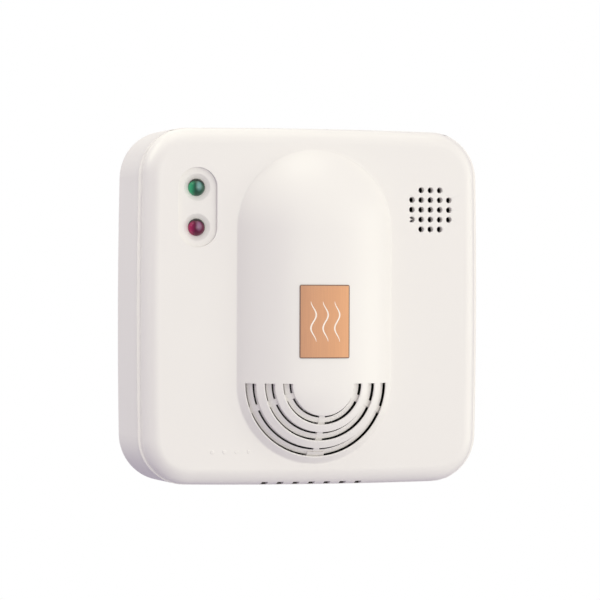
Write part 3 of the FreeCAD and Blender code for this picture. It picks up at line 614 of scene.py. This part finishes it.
def dome_block(near, far, drop):
    """The section of a rib or bridge between two distances from the dome's axis, set back from the dome's face."""
    outside = dome_round - drop
    inside = dome_round - rib_drop - rib_depth
    stops = [math.degrees(math.asin(x / round_)) for x, round_ in
             ((near, outside), (far, outside), (far, inside), (near, inside))]
    pen(near, dome_centre + math.sqrt(outside ** 2 - near ** 2), z=-dome_end)
    arc(0, dome_centre, stops[1] - stops[0], 4, z=-dome_end)
    line(0, math.sqrt(inside ** 2 - far ** 2) - math.sqrt(outside ** 2 - far ** 2))
    arc(0, dome_centre, stops[3] - stops[2], 4, z=-dome_end)
    bpy.ops.mesh.select_linked()
    bpy.ops.mesh.edge_face_add()


def set_aside():
    """Weld the block just made by itself, turn its faces outwards and put it out of sight."""
    bpy.ops.mesh.select_linked()
    bpy.ops.mesh.remove_doubles(threshold=0.005 * MM)
    bpy.ops.mesh.select_linked()
    bpy.ops.mesh.normals_make_consistent(inside=False)
    bpy.ops.mesh.hide(unselected=False)


bpy.ops.object.mode_set(mode="EDIT")
bpy.ops.mesh.reveal()
bpy.ops.mesh.select_all(action="SELECT")
bpy.ops.mesh.hide(unselected=False)
for middle in slot_middles:
    reach = slot_width / 2 + rib_width / 2
    dome_block(middle - rib_width / 2, middle + rib_width / 2, rib_drop)
    bpy.ops.transform.translate(value=(0, 0, rib_rise * MM))
    carry(z=-rib_rise)
    turn(0, -dome_end, -180, half_ring_steps)
    carry(z=rib_rise)
    set_aside()
    bridges = [(place, middle - reach, bridge_width, bridge_drop) for place in (bridge_lean, 90, 180 - bridge_lean)]
    if middle == max(slot_middles):
        bridges.append((90, middle, broad_bridge_width, broad_bridge_drop))
    for place, near, width, drop in bridges:
        dome_block(near, middle + reach + bridge_root, drop)
        span = math.degrees(width / middle)
        bpy.ops.transform.rotate(value=-math.radians(place - span / 2), orient_axis="Y",
                                 center_override=(0, 0, -dome_end * MM))
        turn(0, -dome_end, -span, 6)
        set_aside()

# Posts inside for the case screws and the board screws, and the collar that holds the sounder. Each is a round
# post with a hole sunk in its end, and its root lies inside the cover's wall.
case_post = {"end": 12.1, "radius": 3.5, "hole": 1.55, "depth": 12.0}
board_post = {"end": 18.5, "radius": 3.0, "hole": 1.4, "depth": 5.9}
sounder_collar = {"end": 23.7, "radius": 10.4, "hole": 9.2, "depth": 2.1}
post_root = 0.1
posts = [(x, z, case_post) for x in (-41.0, 41.0) for z in (-41.0, 41.0)]
posts += [(x, 39.5, board_post) for x in (-27.5, 27.5)]
posts += [(x, -38.0, board_post) for x in (-30.0, 30.0)]
posts.append((sounder_x, feature_z, sounder_collar))
for x, z, post in posts:
    ring(x, z, inner_face + post_root, post["radius"], 32)
    bpy.ops.mesh.edge_face_add()
    carry(out=post["end"] - inner_face - post_root)
    bpy.ops.mesh.inset(thickness=(post["radius"] - post["hole"]) * MM)
    carry(out=post["depth"])
    set_aside()

# Four plain moulded dots at the lower left of the face, and a small burr left in one hole of the grille.
dot_count = 4
dot_left = -30.2
dot_pitch = 3.6
dot_z = -41.3
dot_height = 0.12
dot_sunk = 0.08
dot_top = 0.45
dot_spread = 1.5
for step in range(dot_count):
    ring(dot_left + step * dot_pitch, dot_z, front + dot_height, dot_top, 20)
    bpy.ops.mesh.edge_face_add()
    carry(out=-(dot_height + dot_sunk))
    bpy.ops.transform.resize(value=(dot_spread, 1, dot_spread))
    set_aside()
burr_x = sounder_x - 2 * grille_pitch - 0.6
burr_z = feature_z - grille_pitch
bpy.ops.mesh.select_all(action="DESELECT")
bpy.ops.mesh.primitive_cylinder_add(vertices=3, radius=0.75 * MM, depth=0.5 * MM, rotation=(math.pi / 2, 0, 0),
                                    location=(burr_x * MM, -(front - 0.3) * MM, burr_z * MM))
bpy.ops.transform.rotate(value=math.radians(30), orient_axis="Y", center_override=(burr_x * MM, 0, burr_z * MM))
bpy.ops.transform.resize(value=(1, 1, 0.8), center_override=(0, 0, burr_z * MM))
set_aside()

# The whole moulding gets its smooth shading, with the broad faces kept even, and takes the CAD cover's place.
bpy.ops.mesh.reveal()
bpy.ops.object.mode_set(mode="OBJECT")
bpy.ops.object.shade_smooth_by_angle(angle=math.radians(32))
even = cover.modifiers.new("even_shading", "WEIGHTED_NORMAL")
even.keep_sharp = True
bpy.ops.object.modifier_apply(modifier=even.name)
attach(cover, "root")
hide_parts("front_cover")


# Lamps. Two 5 mm lamps of clear tinted epoxy, green above red, pushed into their collars from behind. They are
# not lit: the epoxy is deep and dark, painted shade darkens the rim, painted light lightens its left side as if light
# gathered there, and a pale painted reflection lies a little right of and above the middle. These three are painted
# by the way each place of the surface faces and aren't optics. The directions are fixed to the part, and were chosen
# for the photograph's view: the glow's direction lies across that picture. In other views the glow stays on the same
# side of the lamp.
painted_glow_direction = (0.954, -0.299, 0.0)
painted_reflection_shape = (1.0, 1.0, 0.6)
painted_reflection_place = (0.08, -0.98, 0.11)
lit_side = (-0.27, -0.86, -0.43)


def tinted_epoxy(name, deep, rim, glow, painted_reflection):
    """Clear tinted epoxy with a polished skin: deep and dark, with a soft highlight, a painted glow, a painted
    reflection and painted shade at the rim.
    """
    finish, tree, surface = new_finish(name, deep, Roughness=0.3, Coat_Weight=0.6, Coat_Roughness=0.16,
                                       Coat_IOR=1.5)
    surface.inputs["Specular IOR Level"].default_value = 0.1
    facing = add(tree, "ShaderNodeTexCoord").outputs["Normal"]
    # Painted light: the side that faces left is lightened towards the glow colour.
    across = add(tree, "ShaderNodeVectorMath", {0: facing, 1: painted_glow_direction}, operation="DOT_PRODUCT")
    left = add(tree, "ShaderNodeMapRange", {"Value": across.outputs["Value"], "From Min": 0.0, "From Max": -0.75},
               interpolation_type="SMOOTHSTEP")
    body = add(tree, "ShaderNodeMix", {"Factor": left.outputs["Result"], "A": linear(deep), "B": linear(glow)},
               data_type="RGBA")
    # Painted reflection: a pale patch where the surface faces out a little right of and above the middle.
    flatter = add(tree, "ShaderNodeVectorMath", {0: facing, 1: painted_reflection_shape}, operation="MULTIPLY")
    away = add(tree, "ShaderNodeVectorMath", {0: flatter.outputs["Vector"], 1: painted_reflection_place}, operation="DISTANCE")
    painted_reflection_mask = add(tree, "ShaderNodeMapRange", {"Value": away.outputs["Value"], "From Min": 0.5, "From Max": 0.08},
                   interpolation_type="SMOOTHSTEP")
    body = add(tree, "ShaderNodeMix", {"Factor": painted_reflection_mask.outputs["Result"], "A": body.outputs["Result"],
                                       "B": linear(painted_reflection)}, data_type="RGBA")
    # Painted shade: the rim, where the surface turns away from the front, is darkened.
    outward = add(tree, "ShaderNodeVectorMath", {0: facing, 1: lit_side}, operation="DOT_PRODUCT")
    painted_rim_shade_mask = add(tree, "ShaderNodeMapRange", {"Value": outward.outputs["Value"], "From Min": 0.45, "From Max": 0.15},
                 interpolation_type="SMOOTHSTEP")
    body = add(tree, "ShaderNodeMix", {"Factor": painted_rim_shade_mask.outputs["Result"], "A": body.outputs["Result"],
                                       "B": linear(rim)}, data_type="RGBA")
    tree.links.new(body.outputs["Result"], surface.inputs["Base Color"])
    return finish


dress(tinted_epoxy("tinted_epoxy_green", "#22503d", "#06120c", "#32b27c", "#6f9a97"), "green_lamp")
dress(tinted_epoxy("tinted_epoxy_red", "#5e1236", "#16040a", "#b0245f", "#8f6684"), "red_lamp")


# Label. Copper-toned metal foil with a clear lacquer, stuck on the dome, with a thin dark line painted along its
# edge. It carries a plain sign for vapour, three rising waves in white ink. The lacquer gives a soft shine in one
# warm tone, with the fine brushing just showing through, and a painted sheen lightens the foil towards its right.
foil_middle = -4.2
foil_width = 14.8
foil_height = 20.8
edge_line = 0.28
wave_gap = 3.5
wave_length = 7.6
wave_swing = 0.75
wave_height = 11.4
ink_width = 0.46
metal_shine = 0.15
foil, tree, surface = new_finish("brushed_copper_foil", "#d29a72", Roughness=0.42, IOR=1.5)
place = add(tree, "ShaderNodeTexCoord")
spot = add(tree, "ShaderNodeSeparateXYZ", {"Vector": place.outputs["Object"]})
# Fine brushing along the foil, a stroke about every 0.25 mm and 8 mm long.
finely, along = 1 / (0.25 * MM), 1 / (8 * MM)
stretched = add(tree, "ShaderNodeMapping", {"Vector": place.outputs["Object"], "Scale": (finely, finely, along)})
strokes = add(tree, "ShaderNodeTexNoise", {"Vector": stretched.outputs["Vector"], "Scale": 1.0, "Detail": 2.0})
# The foil's tone rises a little from left to right, a painted sheen for light from the right, chosen to match the
# tones of the photograph.
painted_sheen_across = add(tree, "ShaderNodeMapRange", {"Value": spot.outputs["X"], "From Min": -foil_width / 2 * MM,
                                            "From Max": foil_width / 2 * MM, "To Min": -0.25, "To Max": 0.75})
lift = add(tree, "ShaderNodeMath", {0: strokes.outputs["Fac"], 1: 0.5, 2: painted_sheen_across.outputs["Result"]},
           operation="MULTIPLY_ADD")
tone = add(tree, "ShaderNodeMix", {"Factor": lift.outputs[0], "A": linear("#c08b6a"), "B": linear("#e0a67a")},
           data_type="RGBA")
# A darker line, a quarter of a millimetre wide, is painted along the foil's edge.
aside = add(tree, "ShaderNodeMath", {0: spot.outputs["X"]}, operation="ABSOLUTE")
from_side = add(tree, "ShaderNodeMath", {0: foil_width / 2 * MM, 1: aside.outputs[0]}, operation="SUBTRACT")
height = add(tree, "ShaderNodeMath", {0: spot.outputs["Z"], 1: foil_middle * MM}, operation="SUBTRACT")
up_or_down = add(tree, "ShaderNodeMath", {0: height.outputs[0]}, operation="ABSOLUTE")
from_end = add(tree, "ShaderNodeMath", {0: foil_height / 2 * MM, 1: up_or_down.outputs[0]}, operation="SUBTRACT")
from_edge = add(tree, "ShaderNodeMath", {0: from_side.outputs[0], 1: from_end.outputs[0]}, operation="MINIMUM")
at_edge = add(tree, "ShaderNodeMath", {0: from_edge.outputs[0], 1: edge_line * MM}, operation="LESS_THAN")
edged = add(tree, "ShaderNodeMix", {"Factor": at_edge.outputs[0], "A": tone.outputs["Result"],
                                    "B": linear("#75594e")}, data_type="RGBA")
# The ink: three waves side by side, each thinner towards its ends.
turns = add(tree, "ShaderNodeMath", {0: height.outputs[0], 1: 2 * math.pi / (wave_length * MM)},
            operation="MULTIPLY")
bend = add(tree, "ShaderNodeMath", {0: turns.outputs[0]}, operation="SINE")
leaned = add(tree, "ShaderNodeMath", {0: bend.outputs[0], 1: -wave_swing * MM, 2: spot.outputs["X"]},
             operation="MULTIPLY_ADD")
wrapped = add(tree, "ShaderNodeMath", {0: leaned.outputs[0], 1: wave_gap / 2 * MM, 2: -wave_gap / 2 * MM},
              operation="WRAP")
off_line = add(tree, "ShaderNodeMath", {0: wrapped.outputs[0]}, operation="ABSOLUTE")
up_wave = add(tree, "ShaderNodeMath", {0: height.outputs[0], 1: 2 / (wave_height * MM)}, operation="MULTIPLY")
squared = add(tree, "ShaderNodeMath", {0: up_wave.outputs[0], 1: up_wave.outputs[0]}, operation="MULTIPLY")
left_over = add(tree, "ShaderNodeMath", {0: 1.0, 1: squared.outputs[0]}, operation="SUBTRACT")
above_zero = add(tree, "ShaderNodeMath", {0: left_over.outputs[0], 1: 0.0}, operation="MAXIMUM")
thinning = add(tree, "ShaderNodeMath", {0: above_zero.outputs[0]}, operation="SQRT")
half_line = add(tree, "ShaderNodeMath", {0: thinning.outputs[0], 1: ink_width / 2 * MM}, operation="MULTIPLY")
on_line = add(tree, "ShaderNodeMath", {0: off_line.outputs[0], 1: half_line.outputs[0]}, operation="LESS_THAN")
out_from_middle = add(tree, "ShaderNodeMath", {0: leaned.outputs[0]}, operation="ABSOLUTE")
one_of_three = add(tree, "ShaderNodeMath", {0: out_from_middle.outputs[0], 1: 1.5 * wave_gap * MM},
                   operation="LESS_THAN")
inked = add(tree, "ShaderNodeMath", {0: on_line.outputs[0], 1: one_of_three.outputs[0]}, operation="MULTIPLY")
printed = add(tree, "ShaderNodeMix", {"Factor": inked.outputs[0], "A": edged.outputs["Result"],
                                      "B": linear("#f8efe6")}, data_type="RGBA")
tree.links.new(printed.outputs["Result"], surface.inputs["Base Color"])
# The ink covers the metal.
metal_share = add(tree, "ShaderNodeMath", {0: inked.outputs[0], 1: -metal_shine, 2: metal_shine},
                  operation="MULTIPLY_ADD")
tree.links.new(metal_share.outputs[0], surface.inputs["Metallic"])
dress(foil, "front_label")


# Floor. A plain sheet of matt white paper, well below the alarm and outside the picture. It sends a little soft
# light back up, and nothing shows in it.
sheet_size = 1000.0
sheet_drop = 1200.0
bpy.ops.object.select_all(action="DESELECT")
bpy.ops.mesh.primitive_plane_add(size=sheet_size * MM, location=(0, 0, -sheet_drop * MM))
floor = bpy.context.object
floor.name = "floor"
bpy.ops.object.transform_apply(location=True)
paper, tree, surface = new_finish("matt_white_paper", "#f7f6f4", Roughness=0.9)
floor.data.materials.append(paper)


# Studio light. A white room lights everything a little coolly. One large soft lamp near the camera is slightly
# warm, the others stand to the right, overhead and behind on the left, so that what faces right and up is the
# lightest and what faces left or down is a cool grey. The strengths and the room's colour were fitted to the tones
# of the photograph. The camera alone sees plain white behind the alarm.
scene = bpy.context.scene
room = bpy.data.worlds.new("studio_room")
room.use_nodes = True
scene.world = room
tree = room.node_tree
tree.nodes.clear()
seen = add(tree, "ShaderNodeLightPath")
lit = add(tree, "ShaderNodeBackground", {"Color": linear("#f3e9ff"), "Strength": 0.490})
behind = add(tree, "ShaderNodeBackground", {"Color": linear("#ffffff"), "Strength": 1.0})
both = add(tree, "ShaderNodeMixShader", {0: seen.outputs["Is Camera Ray"], 1: lit.outputs[0],
                                         2: behind.outputs[0]})
add(tree, "ShaderNodeOutputWorld", {"Surface": both.outputs[0]})
lamp_distance = 1.0
lamp_tint = linear("#fcffe8")[:3]
lamp_aim = Vector((0, -0.03, 0))
for name, turned, raised, size, watts in (
        ("front", -5, 0, 0.6, 2.25),
        ("front_right", 33, 4, 1.1, 3.19),
        ("front_high", 0, 40, 0.6, 0.84),
        ("right", 75, 0, 0.6, 2.36),
        ("low_right", 45, -40, 0.6, 0.34),
        ("low_front", 0, -30, 0.6, 0.17),
        ("overhead", 0, 80, 0.6, 2.24),
        ("upper_left", -100, 40, 0.6, 4.59),
        ("rear_left", -150, 0, 0.6, 0.53),
        ("rear_top", 180, 50, 0.6, 1.61)):
    lamp = bpy.data.lights.new(name, "AREA")
    lamp.size = size
    lamp.energy = watts
    lamp.color = lamp_tint
    stand = bpy.data.objects.new(name, lamp)
    way = Vector((math.sin(math.radians(turned)) * math.cos(math.radians(raised)),
                  -math.cos(math.radians(turned)) * math.cos(math.radians(raised)), math.sin(math.radians(raised))))
    stand.location = lamp_aim + way * lamp_distance
    stand.rotation_euler = way.to_track_quat("Z", "Y").to_euler()
    scene.collection.objects.link(stand)


# Camera. The alarm is seen level, 17.4 degrees to the left of square on, from a little under a metre away. The
# picture is 600 pixels wide and has 3.5 of them to each millimetre at the front of the face.
turn_left = math.radians(-17.395)
rise = math.radians(0.179)
roll = math.radians(0.197)
distance = 0.92724
pixels_per_metre = 3501.0
picture_width = 600
film_width = 36.0
face_point = Vector((0, -front * MM, 0))
face_pixel = (314.42, 306.51)
back = Vector((math.sin(turn_left) * math.cos(rise), -math.cos(turn_left) * math.cos(rise), math.sin(rise)))
right = Vector((math.cos(turn_left), math.sin(turn_left), 0))
aim = face_point - right * ((face_pixel[0] - picture_width / 2) / pixels_per_metre)
aim += back.cross(right) * ((face_pixel[1] - picture_width / 2) / pixels_per_metre)
stand = face_point + back * distance
behind_film = (stand - aim).normalized()
across = Vector((0, 0, 1)).cross(behind_film).normalized()
pose = Matrix((across, behind_film.cross(across), behind_film)).transposed().to_4x4()
pose.translation = stand
camera = bpy.data.objects.new("camera", bpy.data.cameras.new("camera"))
camera.data.sensor_width = film_width
camera.data.lens = film_width * pixels_per_metre * distance / picture_width
camera.data.clip_end = 30
camera.matrix_world = pose @ Matrix.Rotation(roll, 4, "Z")
scene.collection.objects.link(camera)
scene.camera = camera
scene.view_settings.view_transform = "Standard"
